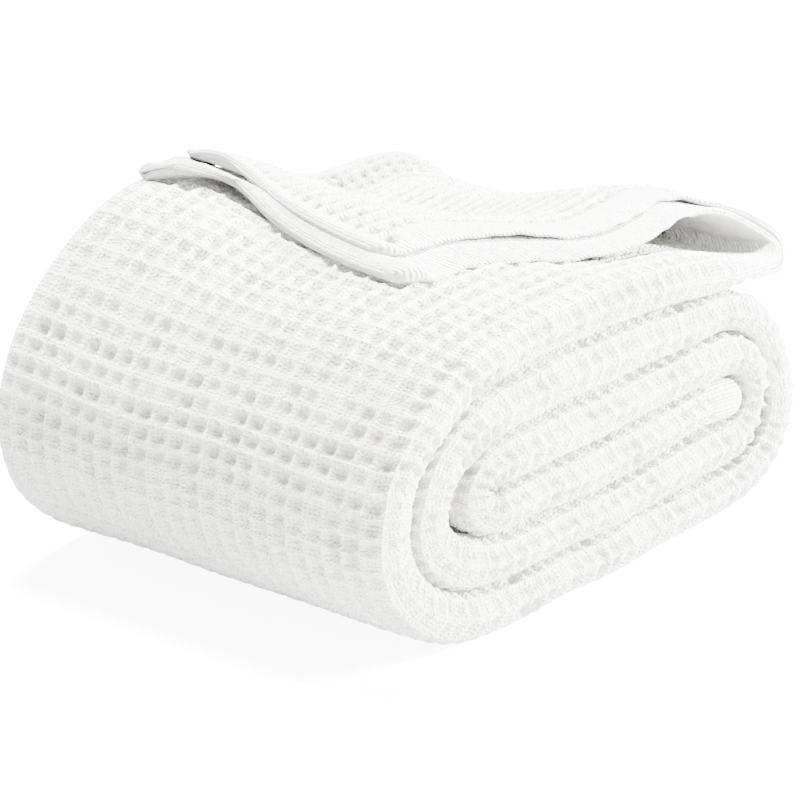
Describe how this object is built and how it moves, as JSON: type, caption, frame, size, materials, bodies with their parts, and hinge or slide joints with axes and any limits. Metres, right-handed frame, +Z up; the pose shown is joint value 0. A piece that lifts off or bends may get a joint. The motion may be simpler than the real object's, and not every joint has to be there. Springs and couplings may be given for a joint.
{
  "type": "folded and rolled cotton blanket",
  "caption": "White waffle-weave cotton blanket, folded lengthwise and rolled flat, with its free end turned back on top in an open loop.",
  "frame": {"origin": "middle of the bounding box in plan, on the surface that the blanket rests on", "axes": "+X along the near end face, from the first left bends to the open loop; +Y along the roll, from the folded near end to the hemmed far end; +Z up"},
  "size_m": [0.3795, 0.2683, 0.201],
  "materials": {
    "cotton": "matt bleached waffle-weave cotton"
  },
  "bodies": {
    "root": {"blanket": "cotton"}
  },
  "joints": []
}
